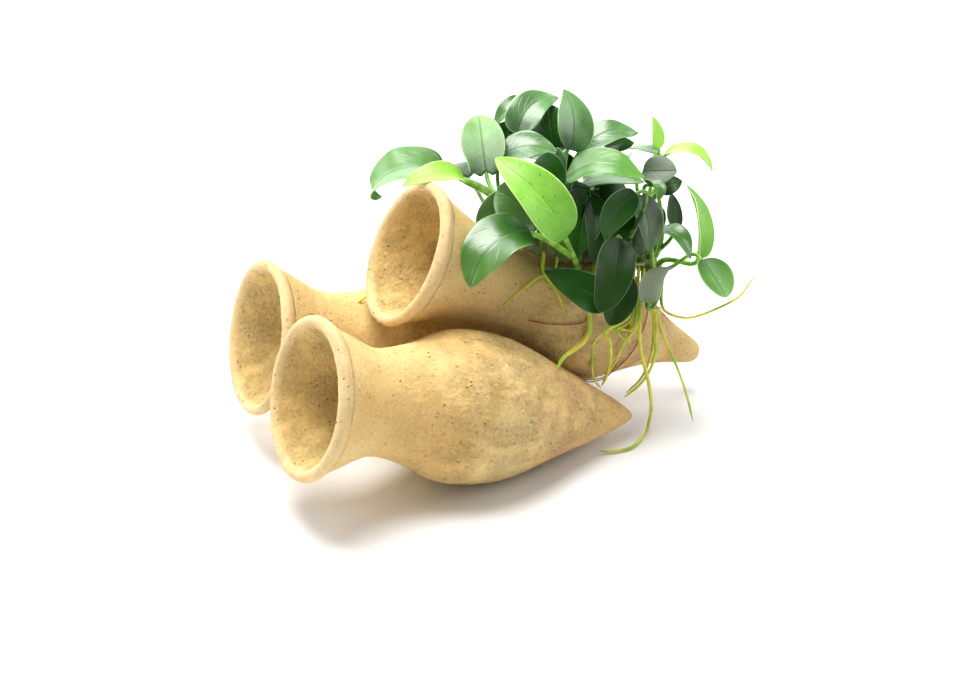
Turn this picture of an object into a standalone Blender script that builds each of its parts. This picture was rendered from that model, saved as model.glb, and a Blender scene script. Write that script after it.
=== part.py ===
"""Anubias tied with a thread to the top one of three pointed clay amphorae.

Two amphorae lie side by side on the ground and the third lies in the valley between them.
The script works in millimetres from a point on the ground between the lower two, and writes
metres. +X runs from the mouths towards the points, +Z is up, and the finished origin is the
middle of the underside of the whole thing.
"""

import math
from collections import namedtuple
from itertools import accumulate

import bmesh
import bpy
from mathutils import Matrix, Vector

MM = 0.001
ORIGIN_X = 0.15
ORIGIN_Y = 0.8

# Clay amphorae, hand-thrown and so not quite alike: a rounded lip, and a wall that thickens
# towards the point.
AMPHORA_LENGTH = 130.0
TOP_LENGTH = 128.5
LIP = 2.0
WALL = 4.0
WALL_GROWTH = 0.12
WALL_GROWS_FROM = 75.0
HOLLOW_END = 112.0
HOLLOW_NARROWEST = 1.0
HOLLOW_ROUNDING = 4.0
AMPHORA_SIDES = 20
LIP_STEPS = 4
RADIUS_STEPS = 6
SEAM = 0.01

# Outlines are (distance from the mouth, radius), from just behind the lip to just before the point.
LOWER_OUTLINE = ((6.5, 24.6), (12.0, 22.2), (18.0, 19.6), (26.0, 17.8), (39.0, 20.6), (52.0, 25.8),
                 (65.0, 26.1), (78.0, 23.4), (93.6, 17.2), (109.2, 11.8), (123.5, 6.1), (128.8, 3.2))
TOP_OUTLINE = ((6.5, 23.4), (15.6, 19.8), (26.0, 16.8), (39.0, 15.5), (52.0, 17.2), (65.0, 23.3),
               (78.0, 24.8), (93.6, 16.5), (109.0, 9.2), (122.5, 5.4), (127.3, 3.4))
REAR_BELLY = 0.945
REAR_BELLY_STARTS = 30.0

Amphora = namedtuple("Amphora", "name mouth yaw tilt rim length outline")

# The tilt is how far the axis dips from the mouth to the point.
TOP = Amphora("amphora_top", (-28.6, 4.5, 73.9), -4.3, 27.7, 25.8, TOP_LENGTH, TOP_OUTLINE)
FRONT = Amphora("amphora_front", (-77.6, -27.6, 44.75), 1.7, 17.0, 27.3, AMPHORA_LENGTH,
                LOWER_OUTLINE)
REAR = Amphora("amphora_rear", (-75.4, 27.0, 41.0), -1.7, 15.4, 27.3, AMPHORA_LENGTH,
               tuple((along, radius * (1.0 if along < REAR_BELLY_STARTS else REAR_BELLY))
                     for along, radius in LOWER_OUTLINE))

# The rhizome creeps along the back of the top amphora: (along, around, lift, radius).
RHIZOME = ((24, 6, 4.0, 1.6), (33, 11, 4.1, 2.6), (43, 16, 4.2, 3.2), (53, 20, 4.2, 3.5),
           (63, 20, 4.2, 3.5), (73, 17, 4.2, 3.4), (83, 11, 4.8, 3.1), (91, 5, 6.5, 2.7),
           (98, 0, 9.5, 1.6))
RHIZOME_SIDES = 8
FOOT_GAP = 0.4

PETIOLE_RADIUS = 0.75
BLADE_THICKNESS = 0.9
EDGE_THICKNESS = 0.35
BLADE_STATIONS = (0.06, 0.24, 0.48, 0.77, 1.0)
NARROWEST = 0.25
EDGE_THINS_AT = 0.9
# The blade's section: how far out towards the edge, and which skin, upper 1 or under -1.
BLADE_SECTION = ((-1, 0), (-0.55, 1), (0, 1), (0.55, 1), (1, 0), (0.55, -1), (0, -1), (-0.55, -1))
FOLD_CURVE = 1.5

# A blade is round at its base and pointed at its tip, and some blades are blunt.
BASE_ROUNDNESS = 0.45
TIP_POINT = 0.85
BLUNT_POINT = 0.6
BLUNT = ("left_round", "neck_back", "neck_front", "right_grey", "right_low", "front_hanging",
         "front_behind", "shade_deep", "back_middle", "back_low")

# How a stalk leaves the rhizome and meets its blade, as parts of the way between them.
STALK_RISES = 0.35
STALK_LANDS = 0.3
STALK_STEPS = 25
STALK_SECTIONS = (0.34, 0.67)
EVEN_BEND = 0.04

# A leaf stands on the rhizome at `along` and `around`. Its blade runs from base to tip, and its
# upper side looks towards `faces`. The blade bows up by `arch` and sideways by `sweep`, and its
# halves rise from the midrib by `fold`, all as parts of its length or half width.
Leaf = namedtuple("Leaf", "name along around base tip width faces arch sweep fold tone")

LEAVES = tuple(Leaf(*row) for row in (
    ("far_left", 27, -30, (0, 32, 88), (-28, 42, 77), 24, (-0.1, -0.1, 1), 0.24, 0, 0.1, "mid"),
    ("left_lime", 30, -10, (-1, 14, 92), (-24, 15, 93), 12, (0, 0.1, 1), 0.2, 0, -0.2, "lime"),
    ("left_round", 33, 45, (5, 9, 94), (11, 28, 107), 17, (-0.35, -0.8, 0.5), 0.05, 0, 0.05, "light"),
    ("left_behind", 31, -110, (10, 35, 83), (7, 46, 83), 11, (-0.2, 0.1, 1), 0.15, 0, 0.1, "grey"),
    ("gap_dark", 37, -45, (23, 30, 94), (27, 39, 100), 13, (-0.3, -0.9, 0.3), 0.05, 0, 0.1, "dark"),
    ("top_small", 49, -110, (34, 38, 107), (21, 37, 100), 9, (-0.5, -0.35, 0.8), 0.2, 0, 0.2, "mid"),
    ("top_large", 43, -30, (25, 26, 100), (44, 32, 109), 13, (-0.6, -0.6, 0.5), 0.1, -0.17, 0.1, "blue"),
    ("top_dark", 51, -25, (38, 24, 92), (40, 33, 107), 18, (-0.2, -0.95, 0.25), 0.05, 0, 0.1, "dark"),
    ("top_upright", 57, -30, (36, 8, 99), (40, 21, 116), 16, (0.2, -0.85, 0.45), 0.08, 0.09, 0.15, "mid"),
    ("upper_middle", 40, -110, (14, 14, 99), (30, 7, 99), 15, (-0.1, -0.4, 0.9), 0.18, 0, 0.05, "blue"),
    ("bright", 61, 75, (20, -22, 81), (2, -4, 106), 18, (-0.1, -0.8, 0.6), 0.2, 0, 0.1, "bright"),
    ("low_left", 56, 95, (9, -16, 83), (-16, -23, 70), 18, (-0.55, -0.4, 0.72), 0.22, 0.05, 0.05, "mid"),
    ("neck_back", 43, 60, (17, -2, 84), (-5, -4, 83), 19, (-0.3, -0.8, 0.5), 0.15, 0, 0.1, "dark"),
    ("neck_front", 48, 85, (16, -11, 84), (3, -3, 94), 20, (-0.3, -0.8, 0.5), 0.1, 0, 0.1, "dark"),
    ("shade_high", 51, 55, (17, 0, 98), (26, -8, 92), 16, (-0.5, -0.5, 0.7), 0.2, 0, 0.1, "dark"),
    ("shade_low", 54, 25, (28, 11, 95), (30, 0, 93), 12, (-0.4, -0.5, 0.75), 0.2, 0, 0.1, "dark"),
    ("broad_right", 65, 20, (29, -3, 94), (51, -19, 96), 20, (0, -0.3, 1), 0.22, 0, 0.05, "mid"),
    ("under_broad", 60, 5, (38, 2, 87), (56, -10, 90), 13, (0.1, -0.2, 1), 0.1, 0, 0.1, "mid"),
    ("upper_right", 64, -95, (43, 15, 94), (67, 14, 98), 15, (-0.1, -0.45, 0.9), 0.16, 0, 0.05, "blue"),
    ("upper_right_back", 67, -55, (56, 19, 92), (67, 17, 93), 7, (-0.1, -0.5, 0.85), 0.1, 0, 0.1, "dark"),
    ("shoot_upright", 85, -40, (73, 11, 92), (74, 17, 102), 5, (0.2, -0.8, 0.5), 0, 0.08, 0.3, "lime"),
    ("shoot_drooping", 88, 15, (72, 4, 93), (84, -9, 89), 9, (0.1, -0.2, 1), 0.27, 0, 0.1, "lime"),
    ("shoot_flat", 80, -65, (78, 18, 87), (70, 27, 87), 8, (-0.1, 0.1, 1), 0.05, 0, 0.1, "mid"),
    ("right_grey", 79, 35, (61, 0, 89), (70, -8, 91), 13, (0.1, -0.75, 0.65), 0.05, 0, 0.05, "grey"),
    ("right_tucked", 86, -10, (67, -2, 82), (75, -4, 85), 8, (0.2, -0.5, 0.85), 0.1, 0, 0.1, "dark"),
    ("right_curled", 84, 35, (56, -13, 91), (56, -20, 87), 7, (0.3, -0.6, 0.7), 0.3, 0, 0.2, "mid"),
    ("hanging_dark", 71, 40, (43, -28, 95), (33, -26, 79), 12, (-0.4, -0.85, 0.25), 0.05, 0.1, 0.1, "dark"),
    ("shade_flat", 62, -20, (43, -2, 84), (56, -3, 80), 14, (-0.2, -0.6, 0.8), 0.1, 0, 0.1, "dark"),
    ("hanging_grey", 80, 15, (54, -11, 86), (50, -25, 71), 12, (0.1, -0.95, 0.2), 0.05, -0.05, 0.1, "grey"),
    ("hanging_narrow", 75, -30, (51, -9, 79), (54, -14, 64), 7, (-0.3, -0.9, 0.2), 0.05, 0, 0.1, "grey"),
    ("right_upright", 92, -25, (68, -12, 71), (71, -4, 81), 7, (0.2, -0.9, 0.3), 0, 0, 0.2, "grey"),
    ("right_arching", 87, 95, (59, -14, 73), (66, -27, 66), 11, (0.3, -0.5, 0.8), 0.25, 0, 0.1, "mid"),
    ("right_tall", 95, -20, (75, -19, 61), (77, -4, 83), 9, (0.6, -0.75, 0.2), 0.1, 0, 0.5, "light"),
    ("right_low", 94, 60, (71, -27, 65), (74, -39, 55), 14, (0.3, -0.8, 0.5), 0, 0, 0.1, "mid"),
    ("right_triangle", 91, 85, (49, -28, 53), (61, -23, 62), 8, (-0.3, -0.85, 0.4), 0, -0.18, 0.1, "grey"),
    ("front_hanging", 70, 78, (39, -24, 78), (25, -38, 59), 15, (-0.25, -0.95, 0.15), 0.1, 0, 0.1, "deep"),
    ("front_behind", 80, 85, (42, -23, 64), (32, -32, 50), 14, (-0.1, -0.95, 0.1), 0.05, 0, 0.1, "deep"),
    ("front_low_left", 63, 95, (34, -27, 55), (15, -16, 67), 15, (-0.3, -0.75, 0.6), 0.1, 0, 0.1, "dark"),
    ("shade_round", 65, -75, (42, 3, 82), (38, -1, 75), 10, (-0.2, -0.9, 0.4), 0.05, 0, 0.1, "dark"),
    ("shade_deep", 57, -60, (45, 7, 67), (46, 11, 79), 15, (-0.3, -0.85, 0.3), 0.05, 0, 0.1, "dark"),
    ("back_left", 27, -110, (31, 30, 76), (29, 47, 63), 17, (-0.3, 0.8, 0.6), 0.15, 0, 0.1, "mid"),
    ("back_neck", 51, -110, (40, 33, 64), (32, 37, 53), 17, (-0.3, 0.9, 0.3), 0.15, 0, 0.1, "dark"),
    ("back_high", 53, -70, (45, 38, 82), (47, 56, 79), 17, (-0.1, 0.5, 0.9), 0.15, 0, 0.1, "mid"),
    ("back_middle", 57, -110, (54, 34, 69), (55, 38, 57), 18, (0, 0.9, 0.4), 0.15, 0, 0.1, "mid"),
    ("back_upper_right", 70, -115, (66, 33, 77), (77, 44, 75), 17, (0.1, 0.5, 0.9), 0.15, 0, 0.1, "mid"),
    ("back_right", 77, -80, (69, 23, 66), (81, 32, 56), 18, (0.4, 0.8, 0.5), 0.15, 0, 0.1, "dark"),
    ("back_low", 68, -110, (54, 23, 58), (57, 27, 44), 17, (0, 1, 0.1), 0.1, 0, 0.1, "dark"),
    ("back_low_right", 84, -90, (68, 13, 56), (74, 12, 47), 15, (0.3, 0.9, 0.2), 0.1, 0, 0.1, "dark"),
))

# A root leaves the rhizome at `along` and `around`, runs over the top amphora's clay through its
# (along, around, lift) points and then hangs free through its millimetre points.
Root = namedtuple("Root", "name along around radius on_clay free")
ROOT_STEPS = 2
ROOT_RISE = 1.2
ROOT_SIDES = 4

ROOTS = tuple(Root(*row) for row in (
    ("neck", 45, 110, 0.6,
     ((46, 42, 1.5), (50, 56, 1.5), (54, 70, 1.4), (55, 78, 1.2)),
     ()),
    ("belly", 62, 110, 0.85,
     ((62, 58, 2.2), (63, 72, 2.3), (65, 84, 2.3), (65, 96, 2.2)),
     ((17.5, -26.5, 38), (13, -31, 37))),
    ("valley", 73, 110, 0.6,
     ((76, 50, 1.8), (77, 66, 2.2)),
     ((33.5, -27, 45), (34.5, -28.5, 41), (36, -26.5, 33), (36, -24, 25.5), (35, -22.5, 21))),
    ("long", 83, 115, 0.6,
     (),
     ((51, -20, 54), (47.5, -25.5, 46.5), (46.5, -29, 35.5), (49.5, -30, 23), (52, -28.5, 11.5),
      (52.5, -26.5, 4), (50, -28.5, 1.1), (41, -34.5, 0.8), (33, -34, 0.8), (29.5, -32.5, 1))),
    ("middle", 88, 110, 0.6,
     (),
     ((54, -20, 52.5), (54.5, -24.5, 45), (53, -28, 33.5), (51, -28.5, 27), (47.5, -27.5, 21),
      (42.5, -25.5, 16))),
    ("thin", 92, 100, 0.5,
     (),
     ((57, -19, 48.5), (57, -22.5, 42), (59, -25.5, 33.5), (61.5, -28.5, 26), (64.5, -31.5, 15),
      (67.5, -32, 3.5))),
    ("reaching", 95, 80, 0.5,
     (),
     ((59, -20.5, 47.5), (60.5, -24, 44.5), (66, -29.5, 44.5), (74, -36, 50), (80, -38.5, 54.5),
      (85, -39, 61.5))),
))

# The thread's turns about the top amphora and over the rhizome: (along, around, lift).
THREAD_RADIUS = 0.25
THREAD_SIDES = 4
THREAD_STEPS = 2
ON_CLAY = 0.7
OVER_THREAD = 1.5
THREAD = ((47, 104, ON_CLAY), (55, 95, ON_CLAY), (63, 80, ON_CLAY), (66, 54, ON_CLAY), (67, 38, 3.6),
          (68, 18, 9.2), (69, -4, 3.6), (70, -28, ON_CLAY), (71, -58, ON_CLAY), (73, -88, ON_CLAY),
          (76, -118, ON_CLAY), (80, -148, ON_CLAY), (84, -178, ON_CLAY), (86, -208, ON_CLAY),
          (87, -238, ON_CLAY), (89, -268, ON_CLAY), (90, -298, ON_CLAY), (90, -328, 2.6),
          (90.5, -354, 11.2), (91, -376, 3.2), (91, -410, ON_CLAY), (90, -440, ON_CLAY),
          (88, -470, ON_CLAY), (87, -500, ON_CLAY), (86, -530, ON_CLAY), (86, -560, OVER_THREAD),
          (85.5, -590, OVER_THREAD), (84.5, -612, ON_CLAY))

LEAF_COLOURS = {
    "bright": (0.30, 0.62, 0.05),
    "lime": (0.36, 0.66, 0.10),
    "light": (0.17, 0.42, 0.12),
    "mid": (0.08, 0.26, 0.07),
    "blue": (0.10, 0.26, 0.13),
    "grey": (0.12, 0.20, 0.12),
    "dark": (0.03, 0.10, 0.03),
    "deep": (0.02, 0.05, 0.03),
}
CLAY_COLOUR = (0.56, 0.41, 0.20)
RHIZOME_COLOUR = (0.22, 0.24, 0.07)
ROOT_COLOUR = (0.42, 0.47, 0.09)
THREAD_COLOUR = (0.20, 0.05, 0.04)
CLAY_ROUGHNESS = 0.85
RHIZOME_ROUGHNESS = 0.6
LEAF_ROUGHNESS = 0.35
ROOT_ROUGHNESS = 0.5
THREAD_ROUGHNESS = 0.9


def smooth(points, steps):
    """Points on a Catmull-Rom curve through the given ones, `steps` to each span."""
    points = [Vector(p) for p in points]
    ends = [2 * points[0] - points[1], *points, 2 * points[-1] - points[-2]]
    curve = []
    for a, b, c, d in zip(ends, ends[1:], ends[2:], ends[3:]):
        for i in range(steps):
            t = i / steps
            curve.append(0.5 * (2 * b + (c - a) * t + (2 * a - 5 * b + 4 * c - d) * t ** 2
                                + (3 * b - a - 3 * c + d) * t ** 3))
    return curve + [points[-1]]


def material(name, colour, roughness):
    finish = bpy.data.materials.new(name)
    finish.use_nodes = True
    shader = finish.node_tree.nodes["Principled BSDF"]
    shader.inputs["Base Color"].default_value = (*colour, 1)
    shader.inputs["Roughness"].default_value = roughness
    shader.inputs["Metallic"].default_value = 0
    return finish


def add_object(name, bm, place, colour, roughness):
    """Turn the millimetre mesh into a metre object standing at `place`."""
    bmesh.ops.recalc_face_normals(bm, faces=bm.faces[:])
    bmesh.ops.scale(bm, vec=(MM, MM, MM), verts=bm.verts[:])
    mesh = bpy.data.meshes.new(name)
    bm.to_mesh(mesh)
    bm.free()
    mesh.materials.append(material(name, colour, roughness))
    mesh.shade_smooth()
    obj = bpy.data.objects.new(name, mesh)
    place = Matrix.Translation((-ORIGIN_X, -ORIGIN_Y, 0)) @ place
    obj.matrix_world = Matrix.Translation(place.translation * MM) @ place.to_3x3().to_4x4()
    bpy.context.collection.objects.link(obj)
    return obj


def loft(rings):
    """Closed mesh through rings of points, each ring's face extruded to the next."""
    bm = bmesh.new()
    first = [bm.verts.new(p) for p in rings[0]]
    cap = bm.faces.new(first)
    for ring in rings[1:]:
        cap = bmesh.ops.extrude_discrete_faces(bm, faces=[cap])["faces"][0]
        for vert, point in zip(cap.verts, ring):
            vert.co = point
    if not any(set(face.verts) == set(first) for face in bm.faces):
        bm.faces.new(first)
    return bm


def tube(name, points, radius, sides, colour, roughness):
    """Round tube along points, with the section carried along so that it doesn't twist."""
    radii = radius if isinstance(radius, (list, tuple)) else [radius] * len(points)
    tangents = [(b - a).normalized() for a, b in zip(points[:1] + points, points[1:] + points[-1:])]
    tangents[0] = (points[1] - points[0]).normalized()
    across = tangents[0].orthogonal().normalized()
    rings = []
    for centre, along, size in zip(points, tangents, radii):
        across = (across - across.dot(along) * along).normalized()
        other = along.cross(across)
        rings.append([centre - points[0] + size * (math.cos(a) * across + math.sin(a) * other)
                      for a in (2 * math.pi * i / sides for i in range(sides))])
    return add_object(name, loft(rings), Matrix.Translation(points[0]), colour, roughness)


def placement(amphora):
    """Matrix that carries +X onto the amphora's axis, with the mouth at its place."""
    turn = Matrix.Rotation(math.radians(amphora.yaw), 4, "Z")
    dip = Matrix.Rotation(math.radians(amphora.tilt), 4, "Y")
    return Matrix.Translation(amphora.mouth) @ turn @ dip


def outside(amphora):
    return [(LIP, amphora.rim), *amphora.outline, (amphora.length, 0.0)]


def outer_radius(amphora, along):
    curve = smooth([(s, r, 0) for s, r in outside(amphora)], RADIUS_STEPS)
    for a, b in zip(curve, curve[1:]):
        if a.x <= along <= b.x:
            return a.y + (b.y - a.y) * (along - a.x) / (b.x - a.x)
    return 0.0


def on_top(along, around, lift):
    """Point above the top amphora's clay, `around` degrees from its back towards the front."""
    angle = math.radians(around)
    reach = outer_radius(TOP, along) + lift
    return placement(TOP) @ Vector((along, -reach * math.sin(angle), reach * math.cos(angle)))


RHIZOME_LINE = [on_top(along, around, lift) for along, around, lift, radius in RHIZOME]


def inside(amphora):
    """The hollow's outline, from the lip to its blind end."""
    points = []
    for along, radius in amphora.outline:
        wall = WALL + WALL_GROWTH * max(0.0, along - WALL_GROWS_FROM)
        if radius > wall + HOLLOW_NARROWEST and along < HOLLOW_END - HOLLOW_ROUNDING:
            points.append((along, radius - wall))
    return [*points, (HOLLOW_END, 0.0)]


def make_amphora(amphora):
    """Turn the wall's section about the axis, then grind it flat where it meets the ground."""
    centre = amphora.rim - LIP
    lip = [(LIP - LIP * math.sin(a), centre + LIP * math.cos(a))
           for a in (math.pi * i / LIP_STEPS for i in range(1, LIP_STEPS))]
    section = [(along, radius) for along, radius in reversed(outside(amphora))]
    section += [*lip, (LIP, centre - LIP), *inside(amphora)]
    bm = bmesh.new()
    verts = [bm.verts.new((along, 0, radius)) for along, radius in section]
    edges = [bm.edges.new(pair) for pair in zip(verts, verts[1:])]
    bmesh.ops.spin(bm, geom=verts + edges, cent=(0, 0, 0), axis=(1, 0, 0), dvec=(0, 0, 0),
                   angle=2 * math.pi, steps=AMPHORA_SIDES, use_duplicate=False)
    bmesh.ops.remove_doubles(bm, verts=bm.verts[:], dist=SEAM)
    place = placement(amphora)
    ground = place.inverted()
    cut = bmesh.ops.bisect_plane(bm, geom=bm.verts[:] + bm.edges[:] + bm.faces[:],
                                 plane_co=ground.translation, plane_no=ground.to_3x3() @ Vector((0, 0, 1)),
                                 clear_inner=True)
    rim_edges = [item for item in cut["geom_cut"] if isinstance(item, bmesh.types.BMEdge)]
    if rim_edges:
        bmesh.ops.edgenet_fill(bm, edges=rim_edges)
    return add_object(amphora.name, bm, place, CLAY_COLOUR, CLAY_ROUGHNESS)


def rhizome_at(along, around):
    """A leaf's foot on the rhizome, and the way out of the rhizome there."""
    for i, (start, end) in enumerate(zip(RHIZOME, RHIZOME[1:])):
        if start[0] <= along <= end[0]:
            t = (along - start[0]) / (end[0] - start[0])
            centre = RHIZOME_LINE[i].lerp(RHIZOME_LINE[i + 1], t)
            tangent = (RHIZOME_LINE[i + 1] - RHIZOME_LINE[i]).normalized()
            radius = start[3] + (end[3] - start[3]) * t
    top = placement(TOP).to_3x3() @ Vector((0, 0, 1))
    top = (top - top.dot(tangent) * tangent).normalized()
    front = tangent.cross(top)
    out = math.cos(math.radians(around)) * top + math.sin(math.radians(around)) * front
    return centre + out * (radius + FOOT_GAP), out


def make_rhizome():
    tube("rhizome", RHIZOME_LINE, [row[3] for row in RHIZOME], RHIZOME_SIDES, RHIZOME_COLOUR,
         RHIZOME_ROUGHNESS)


def bezier(a, b, c, d, t):
    return a * (1 - t) ** 3 + b * 3 * t * (1 - t) ** 2 + c * 3 * t ** 2 * (1 - t) + d * t ** 3


def stalk_sections(controls):
    """Points and tangents where the stalk's sections stand, closer together where it bends more."""
    points = [bezier(*controls, i / STALK_STEPS) for i in range(STALK_STEPS + 1)]
    steps = [(b - a).normalized() for a, b in zip(points, points[1:])]
    bends = list(accumulate(a.angle(b) + EVEN_BEND for a, b in zip(steps, steps[1:])))
    sections = []
    for part in STALK_SECTIONS:
        i = next(i for i, bend in enumerate(bends) if bend >= bends[-1] * part)
        sections.append((points[i + 1], (steps[i] + steps[i + 1]).normalized()))
    return sections


def leaf_line(leaf):
    """Centre line, tangents and upper-side normals of a leaf, from its foot to its tip."""
    base, tip = Vector(leaf.base), Vector(leaf.tip)
    chord = tip - base
    length = chord.length
    chord.normalize()
    up = Vector(leaf.faces)
    up = (up - up.dot(chord) * chord).normalized()
    side = chord.cross(up)
    middle = (base + tip) / 2 + 2 * length * (leaf.arch * up + leaf.sweep * side)
    start = (middle - base).normalized()

    foot, out = rhizome_at(leaf.along, leaf.around)
    reach = (base - foot).length
    controls = foot, foot + out * reach * STALK_RISES, base - start * reach * STALK_LANDS, base
    stem = [(foot, out), *stalk_sections(controls)]
    blade = []
    for t in BLADE_STATIONS:
        point = base * (1 - t) ** 2 + middle * 2 * t * (1 - t) + tip * t ** 2
        tangent = (middle - base) * (1 - t) + (tip - middle) * t
        blade.append((point, tangent.normalized(), t))
    return stem, blade, side


def half_width(leaf, t):
    """Half the blade's width at the part t of its length."""
    point = BLUNT_POINT if leaf.name in BLUNT else TIP_POINT
    widest = BASE_ROUNDNESS / (BASE_ROUNDNESS + point)
    return leaf.width / 2 * (t / widest) ** BASE_ROUNDNESS * ((1 - t) / (1 - widest)) ** point


def make_leaf(leaf):
    stem, blade, side = leaf_line(leaf)
    rings = []
    for point, tangent, t in blade:
        normal = side.cross(tangent).normalized()
        across = tangent.cross(normal)
        half = max(half_width(leaf, t), NARROWEST)
        body = BLADE_THICKNESS if t < EDGE_THINS_AT else EDGE_THICKNESS
        ring = []
        for u, skin in BLADE_SECTION:
            lift = leaf.fold * half * abs(u) ** FOLD_CURVE
            rim = EDGE_THICKNESS if skin else 0
            thickness = (rim + (body - rim) * (1 - abs(u))) / 2
            ring.append(point + across * u * half + normal * (lift + skin * thickness))
        rings.append(ring)
    across = side
    before = blade[0][1]
    for point, tangent in reversed(stem):
        across = before.rotation_difference(tangent) @ across
        normal = across.cross(tangent)
        before = tangent
        rings.insert(0, [point + PETIOLE_RADIUS * (across * -math.cos(a) + normal * math.sin(a))
                         for a in (2 * math.pi * i / len(BLADE_SECTION) for i in range(len(BLADE_SECTION)))])
    foot = stem[0][0]
    bm = loft([[p - foot for p in ring] for ring in rings])
    return add_object("leaf_" + leaf.name, bm, Matrix.Translation(foot), LEAF_COLOURS[leaf.tone],
                      LEAF_ROUGHNESS)


def make_root(root):
    foot, out = rhizome_at(root.along, root.around)
    route = [foot + out * ROOT_RISE, *[on_top(*p) for p in root.on_clay], *[Vector(p) for p in root.free]]
    tube("root_" + root.name, [foot, *smooth(route, ROOT_STEPS)], root.radius, ROOT_SIDES, ROOT_COLOUR,
         ROOT_ROUGHNESS)


def make_thread():
    points = smooth([on_top(*p) for p in THREAD], THREAD_STEPS)
    tube("thread", points, THREAD_RADIUS, THREAD_SIDES, THREAD_COLOUR, THREAD_ROUGHNESS)


def build():
    for obj in list(bpy.data.objects):
        bpy.data.objects.remove(obj)
    for amphora in (FRONT, REAR, TOP):
        make_amphora(amphora)
    make_rhizome()
    for leaf in LEAVES:
        make_leaf(leaf)
    for root in ROOTS:
        make_root(root)
    make_thread()


build()
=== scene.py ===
import math
from collections import namedtuple

import bmesh
import bpy
from mathutils import Matrix, Vector


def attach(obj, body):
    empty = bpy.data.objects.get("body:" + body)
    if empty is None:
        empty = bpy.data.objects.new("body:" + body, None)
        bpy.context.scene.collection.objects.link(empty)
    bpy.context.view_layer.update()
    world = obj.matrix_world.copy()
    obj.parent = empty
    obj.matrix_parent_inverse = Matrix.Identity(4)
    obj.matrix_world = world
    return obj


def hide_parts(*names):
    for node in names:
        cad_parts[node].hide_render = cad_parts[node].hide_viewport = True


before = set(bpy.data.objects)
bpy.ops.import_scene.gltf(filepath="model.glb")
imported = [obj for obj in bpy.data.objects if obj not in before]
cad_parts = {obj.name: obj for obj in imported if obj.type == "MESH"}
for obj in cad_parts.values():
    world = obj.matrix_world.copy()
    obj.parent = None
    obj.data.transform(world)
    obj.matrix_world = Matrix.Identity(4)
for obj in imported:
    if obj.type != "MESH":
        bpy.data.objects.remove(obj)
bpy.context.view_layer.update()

# An anubias tied with thread to the top one of three pointed clay amphorae. Places are given in
# millimetres from a point on the ground between the lower two, and made metres by place(). The
# frame's origin lies at ORIGIN_X and ORIGIN_Y from that point.
MM = 0.001
ORIGIN_X = 0.15
ORIGIN_Y = 0.8

CAMERA_STANDS = (-264.0, -564.1, 358.4)
CAMERA_LOOKS = (0.3746, 0.8059, -0.4584)
CAMERA_LENS = 74.9
CAMERA_SENSOR = 36
CAMERA_NEAREST = 0.01

# The floor and the lamps are in metres. A lamp is a disc: (name, place, size, watts, tint). The
# backdrop is what the leaves' upper sides mirror.
FLOOR_SIZE = 6
FLOOR_HEIGHT = -0.0003
SKY_TINT = (0.93, 0.96, 1.0, 1)
SKY_STRENGTH = 0.17
LAMPS_LOOK_AT = (0, 0, 0.05)
LAMPS = (
    ("softbox", (-0.09, 0.08, 0.90), 0.65, 12.5, (1.0, 0.99, 0.96)),
    ("mouth_side", (-1.0, -0.15, 0.45), 0.6, 2.2, (1.0, 0.98, 0.94)),
    ("window_right", (0.95, -0.30, 0.55), 0.8, 5.0, (1.0, 1.0, 1.0)),
    ("behind_left", (-0.75, 0.75, 0.75), 0.7, 4.0, (0.95, 0.98, 1.0)),
    ("backdrop", (0.2, 1.7, 0.75), 2.2, 45.0, (0.97, 0.98, 1.0)),
)

AMPHORA_LENGTH = 130.0
TOP_LENGTH = 128.5
AMPHORA_SIDES = 64
# The lip is half a round, turned back by its lean.
LIP = 2.0
LIP_LEAN = math.radians(31)
LIP_STEPS = 10
# The wall grows thicker towards the point, and the hollow has a rounded blind end.
WALL = 4.0
WALL_GROWTH = 0.12
WALL_GROWS_FROM = 75.0
HOLLOW_END = 112.0
HOLLOW_NARROWEST = 1.0
HOLLOW_ROUNDING = 4.0
# Steps from one given point of an outline to the next.
OUTSIDE_STEPS = 4
INSIDE_STEPS = 3
RADII_STEPS = 6
# Height at which the ground flats are cut.
GROUND_CUT = 0.02
# The clay is rough about the belly, and less so in the hollow and towards both ends.
ROUGH_FROM = 25
ROUGH_TO = 125
ROUGH_FADE = 30
LEAST_ROUGH = 0.2
HOLLOW_ROUGH = 0.45
# How far behind the mouth's edge the lip ends in a faint crease.
CREASE = 5.2

# Outlines are (distance from the mouth, radius), from just behind the lip to just before the point.
LOWER_OUTLINE = ((6.5, 24.6), (12.0, 22.2), (18.0, 19.6), (26.0, 17.8), (39.0, 20.6), (52.0, 25.8),
                 (65.0, 26.1), (78.0, 23.4), (93.6, 17.2), (109.2, 11.0), (123.5, 4.5), (128.8, 1.6))
TOP_OUTLINE = ((6.5, 23.4), (15.6, 19.8), (26.0, 16.8), (39.0, 15.5), (52.0, 17.2), (65.0, 23.3),
               (78.0, 24.8), (93.6, 16.5), (109.0, 9.2), (122.5, 5.4), (127.3, 3.4))
# The rear amphora's belly is a little narrower than the front one's.
REAR_BELLY = 0.945
REAR_BELLY_STARTS = 30.0

Amphora = namedtuple("Amphora", "name mouth yaw tilt rim length outline")
TOP = Amphora("amphora_top", (-28.6, 4.5, 73.9), -4.3, 27.7, 25.8, TOP_LENGTH, TOP_OUTLINE)
FRONT = Amphora("amphora_front", (-77.6, -27.6, 44.75), 1.7, 17.0, 27.3, AMPHORA_LENGTH,
                LOWER_OUTLINE)
REAR = Amphora("amphora_rear", (-75.4, 27.0, 41.0), -1.7, 15.4, 27.3, AMPHORA_LENGTH,
               tuple((along, radius * (1.0 if along < REAR_BELLY_STARTS else REAR_BELLY))
                     for along, radius in LOWER_OUTLINE))
Ring = namedtuple("Ring", "along radius deep")

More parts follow.
